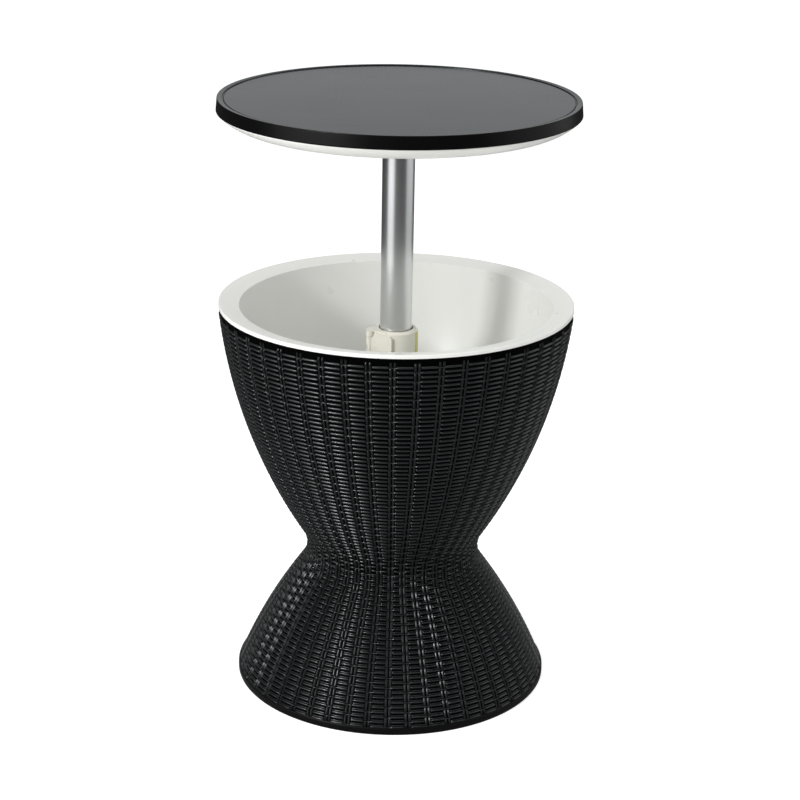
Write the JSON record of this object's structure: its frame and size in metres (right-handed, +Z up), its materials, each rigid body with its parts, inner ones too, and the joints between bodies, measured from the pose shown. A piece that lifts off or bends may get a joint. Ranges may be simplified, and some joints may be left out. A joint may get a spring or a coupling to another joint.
{
  "type": "cooler table",
  "caption": "Hourglass patio table that holds an ice bowl; its round top rises on a clamped pole to open the bowl and lowers to close it as a lid.",
  "frame": {"origin": "centre of the foot ring, on the floor", "axes": "+Z up along the pole, +X to the right seen from the front, front towards -Y with the lever at the front left"},
  "size_m": [0.495, 0.495, 0.8405],
  "materials": {
    "black_rattan": "moulded weave, satin black",
    "black_top": "fine grain, satin",
    "black_plastic": "plain moulded",
    "white_plastic": "semi-gloss moulded",
    "ivory_plastic": "satin moulded",
    "grey_plastic": "plain moulded",
    "yellow_plastic": "satin moulded",
    "aluminium": "satin anodised tube",
    "steel": "zinc plated",
    "brass": "turned",
    "rubber": "soft, matt"
  },
  "bodies": {
    "cooler": {"base_shell": "black_rattan", "upper_shell": "black_rattan", "base_plate": "black_plastic", "cooler_liner": "white_plastic", "centre_column": "white_plastic", "column_nut": "white_plastic", "drain_fitting": "white_plastic", "drain_nut": "white_plastic", "collar_clamp": "ivory_plastic", "guide_tube": "grey_plastic", "indicator_strip": "yellow_plastic", "base_screws": "steel", "waist_screws": "steel", "waist_nuts": "steel", "collar_screws": "steel", "lever_pin": "steel", "clamp_bolt": "steel", "clamp_nut": "steel", "column_seal": "rubber", "drain_gasket": "rubber"},
    "glide": {"glide_ring": "grey_plastic"},
    "table": {"table_top": "black_top", "lid_underside": "white_plastic", "lid_screws": "steel", "pole_socket": "ivory_plastic", "socket_screws": "steel", "socket_insert": "brass", "pole": "aluminium", "pole_top_plug": "ivory_plastic", "pole_stud": "steel", "pole_end_plug": "ivory_plastic", "end_washer": "steel", "end_screw": "steel"},
    "lever": {"lock_lever": "ivory_plastic"},
    "plug": {"drain_plug": "rubber"}
  },
  "joints": [
    {"name": "table_lift", "type": "slide", "parent": "cooler", "child": "glide", "axis": [0, 0, 1], "range_m": [-0.2535, 0]},
    {"name": "table_swivel", "type": "hinge", "parent": "glide", "child": "table", "pos_m": [0, 0, 0.336], "axis": [0, 0, 1], "continuous": true},
    {"name": "lever_swing", "type": "hinge", "parent": "cooler", "child": "lever", "pos_m": [-0.03597, -0.01854, 0.495], "axis": [0, 0, 1], "range_deg": [-110, 0]},
    {"name": "plug_pull", "type": "slide", "parent": "cooler", "child": "plug", "axis": [0, 0, 1], "range_m": [0, 0.04]}
  ]
}
